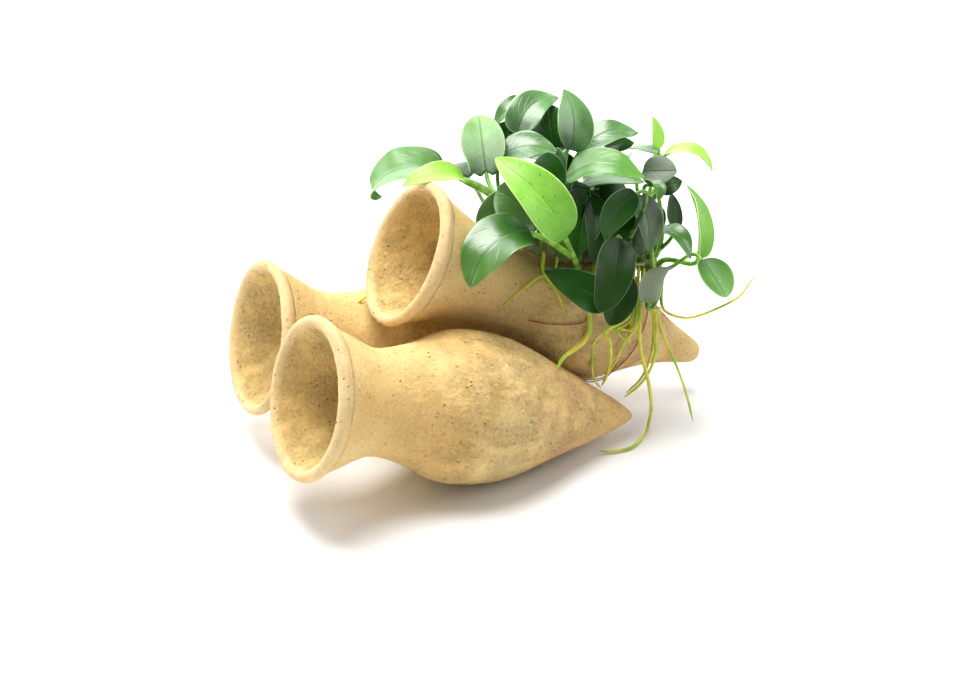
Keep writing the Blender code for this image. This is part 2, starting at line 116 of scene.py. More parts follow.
CLAY_COLOURS = {
    "pale": (0.86, 0.63, 0.27),
    "warm": (0.77, 0.50, 0.185),
    # Brown for the belly's stain, and for painted shade inside the hollow.
    "stain_and_hollow_shade": (0.58, 0.40, 0.11),
    "pink": (0.78, 0.47, 0.24),
    "lip": (0.82, 0.62, 0.36),
    "lump": (0.50, 0.30, 0.09),
    "scratch": (0.50, 0.32, 0.09),
    "sand": (0.95, 0.78, 0.44),
    "grit": (0.42, 0.24, 0.075),
    "pit": (0.12, 0.07, 0.025),
    "crease": (0.45, 0.29, 0.11),
}
# Distances from the mouth over which a colour comes or goes.
BELLY_COMES = (28, 62)
BELLY_GOES = (100, 122)
PINK_COMES = (50, 100)
LIP_GOES = (0, 8)

# The rhizome creeps along the back of the top amphora, given there like on_top().
Knot = namedtuple("Knot", "along around lift radius")
RHIZOME = tuple(Knot(*row) for row in (
    (24, 6, 4.0, 1.6), (33, 11, 4.1, 2.6), (43, 16, 4.2, 3.2), (53, 20, 4.2, 3.5),
    (63, 20, 4.2, 3.5), (73, 17, 4.2, 3.4), (83, 11, 4.8, 3.1), (91, 5, 6.5, 2.7),
    (98, 0, 9.5, 1.6)))
RHIZOME_STEPS = 10
COARSE_KNOBS = 0.10
FINE_KNOBS = 0.05

# A blade is a sheet of rows and columns, found again to within SAME. Its base is round, its tip
# drawn out, and its margin stands higher than its midrib.
BASE_ROUNDNESS = 0.45
TIP_POINT = 0.85
BLUNT_POINT = 0.6
BLADE_ROWS = 24
BLADE_COLUMNS = 10
SAME = 0.01
BLADE_THICKNESS = 0.45
NARROWEST = 0.12
FOLD_MORE = 0.12
EDGEWARDS = 1.5
WAVE_HEIGHT = 1.6
CURL_STARTS = 0.8
NOTCH_ROWS = 6
NOTCH_WIDTH = 0.24
NOTCH_FADE = 1.5
LOBE_REACH = 0.9
LOBE_ROUNDING = 0.8
LENGTH_STEPS = 20
RAIL_STEPS = 24
RAIL_HANDLE = 0.6667
RAIL_BACK_HANDLE = 0.66
# A leaf's materials by their places: the upper side's, the under side's and the stalk's.
UNDER_SIDE = 1
STALK_SIDE = 2

# A stalk starts inside the rhizome as a sheath and tapers to the blade, below which it runs on as
# the midrib.
STALK_POINTS = 14
STALK_SUNK = 0.4
STALK_LEAVES = 0.35
STALK_ARRIVES = 0.3
STALK_TAPER = 0.12
STALK_SIDES = 8
SHEATH = 0.45
SHEATH_LENGTH = 0.3
MIDRIB_POINTS = 12
MIDRIB_STARTS = 0.05
MIDRIB_BLENDS = 0.05
MIDRIB_STEP = 0.02
MIDRIB_SHARE = 0.75
MIDRIB_TAPER = 0.9
MIDRIB_THINNEST = 0.08
MIDRIB_GAP = 0.12
MIDRIB_STOPS = 0.1

# Each look: (the colour at the base, the colour at the tip, how rough, how shiny).
LEAF_COLOURS = {
    "bright": ((0.11, 0.38, 0.006), (0.40, 0.76, 0.13), 0.36, 0.45),
    "lime": ((0.24, 0.54, 0.03), (0.42, 0.74, 0.14), 0.36, 0.5),
    "mid": ((0.014, 0.075, 0.003), (0.075, 0.24, 0.018), 0.25, 1.0),
    # The blue look's whitish tip is painted sheen, the shine of leaves turned to the light.
    "blue": ((0.010, 0.055, 0.004), (0.19, 0.42, 0.13), 0.25, 0.9),
    "grey": ((0.014, 0.038, 0.010), (0.09, 0.145, 0.065), 0.30, 0.45),
    "dark": ((0.005, 0.034, 0.002), (0.020, 0.105, 0.005), 0.27, 0.3),
    "deep": ((0.005, 0.022, 0.002), (0.016, 0.058, 0.006), 0.32, 0.2),
    "fresh": ((0.022, 0.11, 0.004), (0.15, 0.40, 0.05), 0.26, 0.95),
    "thin": ((0.16, 0.40, 0.04), (0.36, 0.64, 0.17), 0.38, 0.6),
    # The round look paints light: a dark base for the shade low on the leaf and a whitish tip for sheen.
    "round": ((0.008, 0.055, 0.002), (0.30, 0.58, 0.18), 0.34, 0.5),
    # Dark leaves with a greyish lighter tip that is painted sheen.
    "dark_with_painted_sheen": ((0.016, 0.075, 0.006), (0.10, 0.20, 0.05), 0.27, 0.7),
    # A grey under side, lightened further as painted sheen.
    "pale": ((0.16, 0.21, 0.12), (0.36, 0.40, 0.28), 0.40, 0.5),
}
LEAF_MARKS = (0.03, 0.09, 0.004)
VEINS = 9
VEIN_SLANT = 0.34

# Plainer finishes. Clouds (size, detail, low, high) turn one colour into the other, and spots (the
# same and how strong) bring a third. The surface is `rough`, and up to `more` rougher by the clouds.
# The relief is (size, detail, depth, strength).
Plain = namedtuple("Plain", "clouds one other rough more relief spots third shine",
                   defaults=(None, None, 0.5))
STALK = Plain((3, 3, 0.35, 0.65), (0.03, 0.12, 0.008), (0.12, 0.30, 0.02), 0.34, 0.15,
              (3, 3, 0.12, 0.5))
PLAIN = {
    "stalk": STALK,
    "young_stalk": STALK._replace(one=(0.10, 0.30, 0.015), other=(0.28, 0.56, 0.05)),
    "rhizome": Plain((3, 4, 0.4, 0.6), (0.10, 0.16, 0.04), (0.22, 0.17, 0.06), 0.45, 0.25,
                     (0.9, 4, 0.4, 0.8), (0.8, 3, 0.5, 0.7, 0.5), (0.06, 0.05, 0.02)),
    "root": Plain((9, 2, 0.35, 0.6), (0.34, 0.50, 0.025), (0.70, 0.66, 0.07), 0.4, 0.2,
                  (0.8, 3, 0.15, 0.6), (2.5, 3, 0.56, 0.7, 0.6), (0.48, 0.38, 0.06)),
    "thread": Plain((0.3, 2, 0.4, 0.7), (0.34, 0.075, 0.045), (0.58, 0.19, 0.12), 0.8, 0.15,
                    (0.3, 2, 0.05, 0.8), shine=0.2),
}

# A leaf stands on the rhizome at `along` and `around`. Its blade runs from base to tip, and its
# upper side looks towards `faces`. The blade bows up by `arch` and sideways by `sweep`, and its
# halves rise from the midrib by `fold`, all as parts of its length or half width. Rows leave out
# what is usual for these three.
Leaf = namedtuple("Leaf", "name along around base tip width faces tone arch sweep fold",
                  defaults=(0.1, 0, 0.1))
LEAVES = tuple(Leaf(*row) for row in (
    ("far_left", 27, -30, (0, 32, 88), (-28, 42, 77), 24, (-0.1, -0.1, 1), "mid", 0.24),
    ("left_lime", 30, -10, (-1, 14, 92), (-24, 15, 93), 10, (-0.1, -0.35, 0.95), "lime", 0.2),
    ("left_round", 33, 45, (5, 9, 94), (11, 28, 107), 15.5, (-0.35, -0.8, 0.5), "light", 0.05, 0, 0.05),
    ("left_behind", 31, -110, (10, 35, 83), (7, 46, 83), 11, (-0.2, 0.1, 1), "grey", 0.15),
    ("gap_dark", 37, -45, (23, 30, 94), (27, 39, 100), 13, (-0.3, -0.9, 0.3), "dark", 0.05),
    ("top_small", 49, -110, (34, 38, 107), (21, 37, 100), 7.5, (-0.5, -0.35, 0.8), "mid", 0.2, 0, 0.2),
    ("top_large", 43, -30, (25, 26, 100), (44, 32, 109), 13, (-0.6, -0.6, 0.5), "blue", 0.1, -0.17),
    ("top_dark", 51, -25, (38, 24, 92), (40, 33, 107), 18, (-0.2, -0.95, 0.25), "dark", 0.05),
    ("top_upright", 57, -30, (36, 8, 99), (40, 21, 116), 15, (0.2, -0.85, 0.45), "mid", 0.08, 0.09, 0.15),
    ("upper_middle", 40, -110, (14, 14, 99), (30, 7, 99), 12.5, (-0.1, -0.4, 0.9),
     "blue", 0.14, -0.08, 0.05),
    ("bright", 57, 100, (20, -22, 81), (2, -4, 106), 17, (-0.1, -0.8, 0.6), "bright", 0.2),
    ("low_left", 56, 95, (9, -16, 83), (-16, -23, 70), 19.5, (-0.55, -0.4, 0.72),
     "mid", 0.22, 0.08, 0.05),
    ("neck_back", 43, 60, (17, -2, 84), (-5, -4, 83), 19, (-0.3, -0.8, 0.5), "dark", 0.15),
    ("neck_front", 48, 85, (16, -11, 84), (3, -3, 94), 20, (-0.3, -0.8, 0.5), "dark"),
    ("shade_high", 51, 55, (17, 0, 98), (26, -8, 92), 16, (-0.5, -0.5, 0.7), "dark", 0.2),
    ("shade_low", 54, 25, (28, 11, 95), (30, 0, 93), 12, (-0.4, -0.5, 0.75), "dark", 0.2),
    ("broad_right", 65, 20, (29, -3, 94), (51, -19, 96), 17.5, (0, -0.3, 1), "mid", 0.22, 0, 0.05),
    ("under_broad", 60, 5, (38, 2, 87), (56, -10, 90), 13, (0.1, -0.2, 1), "mid"),
    ("upper_right", 64, -95, (43, 15, 94), (67, 14, 98), 11.5, (-0.1, -0.45, 0.9),
     "blue", 0.16, -0.08, 0.05),
    ("upper_right_back", 67, -55, (56, 19, 92), (67, 17, 93), 7, (-0.1, -0.5, 0.85), "dark"),
    ("shoot_upright", 85, -40, (73, 11, 92), (74, 17, 102), 5, (0.2, -0.8, 0.5), "lime", 0, 0.08, 0.3),
    ("shoot_drooping", 88, 15, (72, 4, 93), (84, -9, 89), 9, (0.1, -0.2, 1), "lime", 0.27),
    ("shoot_flat", 80, -65, (78, 18, 87), (70, 27, 87), 8, (-0.1, 0.1, 1), "mid", 0.05),
    ("right_grey", 79, 35, (61, 0, 89), (70, -8, 91), 12, (0.1, -0.75, 0.65), "grey", 0.05, 0, 0.05),
    ("right_tucked", 86, -10, (67, -2, 82), (75, -4, 85), 8, (0.2, -0.5, 0.85), "dark"),
    ("right_curled", 84, 35, (56, -13, 91), (56, -20, 87), 7, (0.3, -0.6, 0.7), "mid", 0.3, 0, 0.2),
    ("hanging_dark", 71, 40, (43, -28, 95), (33, -26, 79), 10, (-0.4, -0.85, 0.25), "dark", 0.05, 0.13),
    ("shade_flat", 62, -20, (43, -2, 84), (56, -3, 80), 14, (-0.2, -0.6, 0.8), "dark"),
    ("hanging_grey", 80, 15, (54, -11, 86), (50, -25, 71), 12.8, (0.1, -0.95, 0.2), "grey", 0.05, -0.05),
    ("hanging_narrow", 75, -30, (51, -9, 79), (54, -14, 64), 7, (-0.3, -0.9, 0.2), "grey", 0.05),
    ("right_upright", 92, -25, (68, -12, 71), (71, -4, 81), 7, (0.2, -0.9, 0.3), "grey", 0, 0, 0.2),
    ("right_arching", 87, 95, (59, -14, 73), (66, -27, 66), 10, (0.3, -0.5, 0.8), "mid", 0.25),
    ("right_tall", 95, -20, (75, -19, 61), (77, -4, 83), 9, (0.45, -0.85, 0.2), "light", 0.1, 0, 0.5),
    ("right_low", 94, 60, (71, -27, 65), (74, -39, 55), 16, (0.3, -0.8, 0.5), "mid", 0),
    ("right_triangle", 91, 85, (49, -28, 53), (61, -23, 62), 8.6, (-0.3, -0.85, 0.4), "grey", 0, -0.18),
    ("front_hanging", 70, 78, (39, -24, 78), (25, -38, 59), 14, (-0.25, -0.95, 0.15), "deep"),
    ("front_behind", 80, 85, (42, -23, 64), (32, -32, 50), 14, (-0.1, -0.95, 0.1), "deep", 0.05),
    ("front_low_left", 63, 95, (34, -27, 55), (15, -16, 67), 12.5, (-0.3, -0.75, 0.6), "dark"),
    ("shade_round", 65, -75, (42, 3, 82), (38, -1, 75), 10, (-0.2, -0.9, 0.4), "dark", 0.05),
    ("shade_deep", 57, -60, (45, 7, 67), (46, 11, 79), 15, (-0.3, -0.85, 0.3), "dark", 0.05),
    ("back_left", 27, -110, (31, 30, 76), (29, 47, 63), 17, (-0.3, 0.8, 0.6), "mid", 0.15),
    ("back_neck", 51, -110, (40, 33, 64), (32, 37, 53), 17, (-0.3, 0.9, 0.3), "dark", 0.15),
    ("back_high", 53, -70, (45, 38, 82), (47, 56, 79), 17, (-0.1, 0.5, 0.9), "mid", 0.15),
    ("back_middle", 57, -110, (54, 34, 69), (55, 38, 57), 18, (0, 0.9, 0.4), "mid", 0.15),
    ("back_upper_right", 70, -115, (66, 33, 77), (77, 44, 75), 17, (0.1, 0.5, 0.9), "mid", 0.15),
    ("back_right", 77, -80, (69, 23, 66), (81, 32, 56), 18, (0.4, 0.8, 0.5), "dark", 0.15),
    ("back_low", 68, -110, (54, 23, 58), (57, 27, 44), 17, (0, 1, 0.1), "dark"),
    ("back_low_right", 84, -90, (68, 13, 56), (74, 12, 47), 15, (0.3, 0.9, 0.2), "dark"),
))

# Leaves that nothing else stands for, in the shade between the stalks.
SHADE_LEAVES = tuple(Leaf(*row) for row in (
    ("shade_left", 58, -80, (35, 12, 84), (32, 10, 72), 13, (-0.4, -0.9, 0.1), "deep"),
    ("shade_middle", 66, -70, (46, 8, 82), (47, 5, 68), 14, (-0.3, -0.9, 0.2), "deep"),
    ("shade_right", 74, -60, (55, 4, 76), (58, 1, 63), 13, (-0.2, -0.9, 0.2), "deep"),
    ("shade_tall", 62, -90, (50, 14, 86), (58, 10, 76), 14, (-0.3, -0.8, 0.4), "deep"),
    ("shade_top", 50, -90, (34, 22, 88), (45, 20, 80), 16, (-0.3, -0.9, 0.3), "deep"),
    ("shade_end", 88, -60, (66, 4, 74), (68, 0, 62), 10, (-0.1, -0.9, 0.2), "dark"),
    ("veil_left", 63, 60, (37, -6, 88), (27, -17, 70), 16, (-0.35, -0.9, 0.2), "dark", 0.1, 0.05),
    ("veil_middle", 68, 50, (40, -8, 85), (31, -21, 68), 13, (-0.1, -0.95, 0.2), "deep"),
    ("veil_high", 60, 30, (34, 0, 91), (23, -10, 79), 14, (-0.3, -0.9, 0.3), "dark"),
    ("veil_right", 74, 40, (46, -7, 85), (41, -18, 68), 12, (0.1, -0.95, 0.2), "dark", 0.1, -0.05),
))

# What makes a leaf its own: `point` is how drawn out its tip is, `lobes` how deep its base is
# notched in millimetres, `wave` how wavy its margin is, `stalk` how thick its stalk is, `curl` how
# far its tip rolls under in degrees, `look` its colours where they aren't its tone's, and `foot`
# where its stalk stands where that isn't on the rhizome.
HABIT = {"point": TIP_POINT, "lobes": 0.0, "wave": 1.35, "stalk": 0.8, "curl": 0.0, "look": None,
         "foot": None}
BLUNT = ("left_round", "neck_back", "neck_front", "right_grey", "right_low", "front_hanging",
         "front_behind", "shade_deep", "back_middle", "back_low")
# Leaves on a young stalk, which is a paler green.
YOUNG = ("bright", "low_left", "broad_right", "left_lime", "far_left", "left_round", "right_tall",
         "right_low", "right_arching", "shoot_upright", "shoot_drooping", "shoot_flat")
# Two stalks meet low on the front of the rhizome: (along, around, lift) on the top amphora.
CLUMP = (57, 32, 3.0)
LEAF_HABIT = {
    # left_round's look paints shade low on the blade and sheen at its top.
    "left_round": {"lobes": 2.5, "stalk": 0.9, "wave": 0.6, "look": "round"},
    "far_left": {"curl": 150, "stalk": 1.0, "wave": 1.6, "look": "fresh"},
    "bright": {"stalk": 1.1, "wave": 0.5, "point": 0.8, "foot": CLUMP},
    "low_left": {"stalk": 1.1, "point": 0.75},
    "broad_right": {"stalk": 1.0, "wave": 1.6, "look": "fresh", "foot": CLUMP},
    "top_large": {"wave": 2.0},
    "upper_middle": {"wave": 1.6},
    "upper_right": {"wave": 2.0},
    # top_upright takes the blue look for its painted sheen.
    "top_upright": {"look": "blue"},
    # The neck leaves take a look with painted sheen.
    "neck_back": {"look": "dark_with_painted_sheen"},
    "neck_front": {"look": "dark_with_painted_sheen"},
    "under_broad": {"stalk": 1.0},
    "left_lime": {"stalk": 0.9},
    "right_low": {"point": 0.4, "wave": 0.6, "look": "fresh"},
    # right_triangle's pale look is its grey under side with painted sheen.
    "right_triangle": {"point": 1.1, "look": "pale"},
    "right_tall": {"stalk": 1.0, "look": "thin"},
    "right_arching": {"stalk": 0.9},
}

# A root starts inside the rhizome, rises out of it and grows thinner, with a pointed end.
ROOT_SUNK = 0.5
ROOT_RISE = 1.2
ROOT_AT_FOOT = 1.25
ROOT_TAPER = 0.4
ROOT_POINT = 0.75
ROOT_POINT_STARTS = 0.9
ROOT_POINT_LENGTH = 0.1
ROOT_STEPS = 8
ROOT_SIDES = 8
# Roots: over the clay by (along, around, lift), then free by millimetre points.
Root = namedtuple("Root", "name along around radius on_clay free")
ROOTS = tuple(Root(*row) for row in (
    ("neck", 45, 110, 0.6,
     ((46, 42, 1.5), (50, 56, 1.5), (54, 70, 1.4), (55, 78, 1.2)),
     ()),
    ("belly", 62, 110, 0.85,
     ((62, 58, 2.2), (63, 72, 2.3), (65, 84, 2.3), (65, 96, 2.2)),
     ((17.5, -26.5, 38), (13, -31, 37))),
    ("valley", 73, 110, 0.6,
     ((76, 50, 1.8), (77, 66, 2.2)),
     ((33.5, -27, 45), (34.5, -28.5, 41), (36, -26.5, 33), (36, -24, 25.5), (35, -22.5, 21))),
    ("long", 83, 115, 0.6, (),
     ((51, -20, 54), (47.5, -25.5, 46.5), (46.5, -29, 35.5), (49.5, -30, 23), (52, -28.5, 11.5),
      (52.5, -26.5, 4), (50, -28.5, 1.1), (41, -34.5, 0.8), (33, -34, 0.8), (29.5, -32.5, 1))),
    ("middle", 88, 110, 0.6, (),
     ((54, -20, 52.5), (54.5, -24.5, 45), (53, -28, 33.5), (51, -28.5, 27), (47.5, -27.5, 21),
      (42.5, -25.5, 16))),
    ("thin", 92, 100, 0.5, (),
     ((57, -19, 48.5), (57, -22.5, 42), (59, -25.5, 33.5), (61.5, -28.5, 26), (64.5, -31.5, 15),
      (67.5, -32, 3.5))),
    ("reaching", 95, 80, 0.5, (),
     ((59, -20.5, 47.5), (60.5, -24, 44.5), (66, -29.5, 44.5), (74, -36, 50), (80, -38.5, 54.5),
      (85, -39, 61.5))),
))
# Finer roots, which leave the rhizome too or branch from the others.
FINE_ROOTS = tuple(Root(*row) for row in (
    ("low_neck", 50, 115, 0.45, ((50, 40, 1.4), (45, 50, 0.9), (40, 70, 0.6), (35, 100, 0.6)), ()),
    ("short_valley", 76, 112, 0.45, ((79, 66, 1.8),),
     ((31.5, -24.5, 42), (30, -24, 32.6), (31.2, -23.8, 25.2), (35.7, -20.7, 19))),
    ("looping", 80, 112, 0.5, ((82, 70, 1.6),),
     ((38.4, -26, 44.6), (41, -27.5, 40.5), (44.9, -27.8, 44.5), (48, -24.7, 48.2))),
    ("crossing", 78, 118, 0.5, ((81, 80, 2.0),),
     ((41.2, -27.5, 40.8), (38.8, -25.6, 32.1), (37.5, -22, 24.6))),
    ("forked", 94, 105, 0.35, (),
     ((51.4, -24.6, 49.5), (53.8, -27.7, 49.9), (55.7, -29.2, 51))),
    ("behind", 90, 112, 0.5, (),
     ((55, -18, 50), (56, -20.5, 42), (54.5, -23, 31), (50, -24.5, 22), (44, -24, 16.5))),
))

# The scrap of root on the rear amphora's neck, by millimetre points.
SCRAP = ((-39.5, 21.5, 48.9), (-38.0, 21.0, 50.3), (-36.8, 21.2, 50.6), (-35.6, 20.8, 51.6))
SCRAP_RADIUS = 0.7
SCRAP_TAPER = 0.6
SCRAP_STEPS = 6

# The thread's turns about the top amphora and over the rhizome: (along, around, lift). A row
# without a lift lies on the clay.
ON_CLAY = 0.7
OVER_THREAD = 1.5
THREAD = tuple((*row, ON_CLAY)[:3] for row in (
    (47, 104), (55, 95), (63, 80), (66, 54), (67, 38, 3.6), (68, 18, 9.2), (69, -4, 3.6), (70, -28),
    (71, -58), (73, -88), (76, -118), (80, -148), (84, -178), (86, -208), (87, -238), (89, -268),
    (90, -298), (90, -328, 2.6), (90.5, -354, 11.2), (91, -376, 3.2), (91, -410), (90, -440), (88, -470),
    (87, -500), (86, -530), (86, -560, OVER_THREAD), (85.5, -590, OVER_THREAD), (84.5, -612)))
THREAD_STEPS = 24
# Its two plies make a turn about each other every PLY_PITCH millimetres, in PLY_STEPS steps.
PLY_RADIUS = 0.15
PLY_PITCH = 1.3
PLY_STEPS = 6
PLY_SPREAD = 0.8
PLY_SIDES = 4


def place(x, y, z):
    """A point given in millimetres, in the frame's metres."""
    return Vector(((x - ORIGIN_X) * MM, (y - ORIGIN_Y) * MM, z * MM))


def smooth(points, steps):
    """Points on a curve through the given ones, `steps` to each span."""
    points = [Vector(p) for p in points]
    ends = [2 * points[0] - points[1], *points, 2 * points[-1] - points[-2]]
    curve = []
    for a, b, c, d in zip(ends, ends[1:], ends[2:], ends[3:]):
        for i in range(steps):
            t = i / steps
            curve.append(0.5 * (2 * b + (c - a) * t + (2 * a - 5 * b + 4 * c - d) * t ** 2
                                + (3 * b - a - 3 * c + d) * t ** 3))
    return curve + [points[-1]]


def placement(amphora):
    """Matrix that carries +X onto the amphora's axis, with the mouth at its place."""
    turn = Matrix.Rotation(math.radians(amphora.yaw), 4, "Z")
    dip = Matrix.Rotation(math.radians(amphora.tilt), 4, "Y")
    return Matrix.Translation(place(*amphora.mouth)) @ turn @ dip


def outline_curve(outline, steps):
    return smooth([(s, r, 0) for s, r in outline], steps)


def inside(amphora):
    """The hollow's outline, from the lip to its blind end."""
    points = []
    for along, radius in amphora.outline:
        wall = WALL + WALL_GROWTH * max(0.0, along - WALL_GROWS_FROM)
        if radius > wall + HOLLOW_NARROWEST and along < HOLLOW_END - HOLLOW_ROUNDING:
            points.append((along, radius - wall))
    return [*points, (HOLLOW_END, 0.0)]


TOP_RADII = outline_curve([(LIP, TOP.rim), *TOP.outline, (TOP.length, 0.0)], RADII_STEPS)


def top_radius(along):
    """The top amphora's radius at a distance from its mouth."""
    for a, b in zip(TOP_RADII, TOP_RADII[1:]):
        if a.x <= along <= b.x:
            return a.y + (b.y - a.y) * (along - a.x) / (b.x - a.x)
    return 0.0


def on_top(along, around, lift):
    """Point above the top amphora's clay, `around` degrees from its back towards the front."""
    angle = math.radians(around)
    reach = top_radius(along) + lift
    return placement(TOP) @ (Vector((along, -reach * math.sin(angle), reach * math.cos(angle))) * MM)


RHIZOME_LINE = [on_top(knot.along, knot.around, knot.lift) for knot in RHIZOME]


def rhizome_at(along, around):
    """A leaf's foot on the rhizome, and the way out of the rhizome there."""
    for i, (start, end) in enumerate(zip(RHIZOME, RHIZOME[1:])):
        if start.along <= along <= end.along:
            t = (along - start.along) / (end.along - start.along)
            centre = RHIZOME_LINE[i].lerp(RHIZOME_LINE[i + 1], t)
            tangent = (RHIZOME_LINE[i + 1] - RHIZOME_LINE[i]).normalized()
            radius = start.radius + (end.radius - start.radius) * t
    top = placement(TOP).to_3x3() @ Vector((0, 0, 1))
    top = (top - top.dot(tangent) * tangent).normalized()
    front = tangent.cross(top)
    out = math.cos(math.radians(around)) * top + math.sin(math.radians(around)) * front
    return centre + out * radius * MM, out


def choose(*objects):
    """Select just these objects, the first one active."""
    bpy.ops.object.select_all(action="DESELECT")
    for obj in objects:
        obj.select_set(True)
    bpy.context.view_layer.objects.active = objects[0]


def add(kind, name, **settings):
    """Add one of Blender's own shapes, under its name."""
    bpy.ops.object.select_all(action="DESELECT")
    kind(**settings)
    bpy.ops.object.transform_apply()
    obj = bpy.context.object
    obj.name = name
    obj.data.name = name
    return obj


def edit(obj):
    choose(obj)
    bpy.ops.object.mode_set(mode="EDIT")
    bpy.ops.mesh.select_mode(type="VERT")
    bpy.ops.mesh.select_all(action="DESELECT")


def done():
    bpy.ops.object.mode_set(mode="OBJECT")


def pick_all():
    bpy.ops.mesh.select_all(action="SELECT")


def pick(obj, wanted):
    """In edit mode, select just the corners for which wanted(corner) is true."""
    shape = bmesh.from_edit_mesh(obj.data)
    shape.verts.ensure_lookup_table()
    for corner in shape.verts:
        corner.select = bool(wanted(corner))
    shape.select_flush_mode()
    bmesh.update_edit_mesh(obj.data)


def apply(obj, kind, **settings):
    """Give the piece a modifier and apply it."""
    modifier = obj.modifiers.new(kind.title(), kind)
    for name, value in settings.items():
        setattr(modifier, name, value)
    choose(obj)
    bpy.ops.object.modifier_apply(modifier=modifier.name)


def press(obj, pattern, size, depth, height, **settings):
    """Press a cloudy pattern into the surface, `size` and `height` in millimetres."""
    clouds = bpy.data.textures.new(pattern, "CLOUDS")
    clouds.noise_scale = size * MM
    clouds.noise_depth = depth
    apply(obj, "DISPLACE", texture=clouds, texture_coords="GLOBAL", strength=height * MM,
          mid_level=0.5, **settings)


def settle(obj, matrix):
    """Stand the piece at its place, with the place in its mesh."""
    obj.matrix_world = matrix
    choose(obj)
    bpy.ops.object.transform_apply()


def join(name, *objects):
    """One piece from several, under its name."""
    choose(*objects)
    bpy.ops.object.join()
    piece = objects[0]
    piece.name = name
    piece.data.name = name
    return piece


def dress(piece, *materials):
    piece.data.materials.clear()
    for material in materials:
        piece.data.materials.append(material)


def strand(name, points, radii, sides):
    """A round stem, root or thread along points, each point with its own radius."""
    obj = add(bpy.ops.curve.primitive_bezier_curve_add, name)
    line = obj.data
    line.splines.remove(line.splines[0])
    spline = line.splines.new("POLY")
    spline.points.add(len(points) - 1)
    for knot, point, radius in zip(spline.points, points, radii):
        knot.co = (*point, 1)
        knot.radius = radius
    line.dimensions = "3D"
    line.twist_mode = "MINIMUM"
    line.bevel_depth = MM
    line.bevel_resolution = max(0, sides // 4 - 1)
    line.use_fill_caps = True
    choose(obj)
    bpy.ops.object.convert(target="MESH")
    obj = bpy.context.object
    bpy.ops.object.shade_smooth()
    return obj


# Sockets of the node that mixes colours, which has a set for every kind of value.
MIX_FACTOR = 0
MIX_FROM = 6
MIX_TO = 7
MIX_RESULT = 2


def full(colour):
    """A colour as a socket takes it. A wire stays as it is."""
    return (*colour, 1) if isinstance(colour, tuple) else colour


class Wire:
    """A socket that can be reckoned with, so that 1 - mask * 2 adds the nodes for it."""

    def __init__(self, tree, socket=None):
        self.tree = tree
        self.socket = socket

    def node(self, kind, sockets=None, out=0, **settings):
        """Add a node with its settings, then its sockets' values or links."""
        made = self.tree.nodes.new(kind)
        for name, value in settings.items():
            setattr(made, name, value)
        for key, value in (sockets or {}).items():
            if isinstance(value, Wire):
                self.tree.links.new(value.socket, made.inputs[key])
            else:
                made.inputs[key].default_value = value
        return Wire(self.tree, made.outputs[out])

    def reckon(self, operation, a, b=0.0):
        return self.node("ShaderNodeMath", {0: a, 1: b}, operation=operation)

    def __add__(self, other):
        return self.reckon("ADD", self, other)

    def __sub__(self, other):
        return self.reckon("SUBTRACT", self, other)

    def __rsub__(self, other):
        return self.reckon("SUBTRACT", other, self)

    def __mul__(self, other):
        return self.reckon("MULTIPLY", self, other)

    def __abs__(self):
        return self.reckon("ABSOLUTE", self)

    __radd__ = __add__
    __rmul__ = __mul__

    def between(self, low, high):
        """0 below `low`, 1 above `high`, and a soft step from one to the other."""
        return self.node("ShaderNodeMapRange", {"Value": self, "From Min": low, "From Max": high},
                         interpolation_type="SMOOTHSTEP")

    def part(self, axis):
        return self.node("ShaderNodeSeparateXYZ", {"Vector": self}, out=axis)

    def blend(self, factor, one, other):
        """The one colour, turning to the other by the factor."""
        return self.node("ShaderNodeMix", {MIX_FACTOR: factor, MIX_FROM: full(one), MIX_TO: full(other)},
                         out=MIX_RESULT, data_type="RGBA")

    def mix(self, factor, other):
        """This colour, turning to the other one by the factor."""
        return self.blend(factor, self, other)

    def noise(self, size, detail, roughness=0.55):
        """Cloudy grey, `size` millimetres from patch to patch."""
        return self.node("ShaderNodeTexNoise", {"Vector": self, "Scale": 1 / (size * MM),
                                                "Detail": detail, "Roughness": roughness})

    def cells(self, size):
        """Distance to the nearest of scattered spots, `size` millimetres apart."""
        return self.node("ShaderNodeTexVoronoi", {"Vector": self, "Scale": 1 / (size * MM)})


def finish_of(name):
    """A new material, with its shader and a wire to build its pattern from."""
    material = bpy.data.materials.new(name)
    material.use_nodes = True
    tree = material.node_tree
    return material, tree.nodes["Principled BSDF"], Wire(tree)


def feed(shader, colour, roughness, relief, depth, strength, shine):
    """Give the shader its colour, roughness, shine and a small relief, `depth` millimetres deep."""
    bumps = relief.node("ShaderNodeBump", {"Height": relief, "Distance": depth * MM,
                                           "Strength": strength})
    for name, wire in (("Base Color", colour), ("Roughness", roughness), ("Normal", bumps)):
        wire.tree.links.new(wire.socket, shader.inputs[name])
    shader.inputs["Specular IOR Level"].default_value = shine


def coordinates(start, kind="Object"):
    return start.node("ShaderNodeTexCoord", out=kind)


def written(start, name):
    """The value that mark() has written on the corners under this name."""
    return start.node("ShaderNodeAttribute", out="Fac", attribute_name=name)


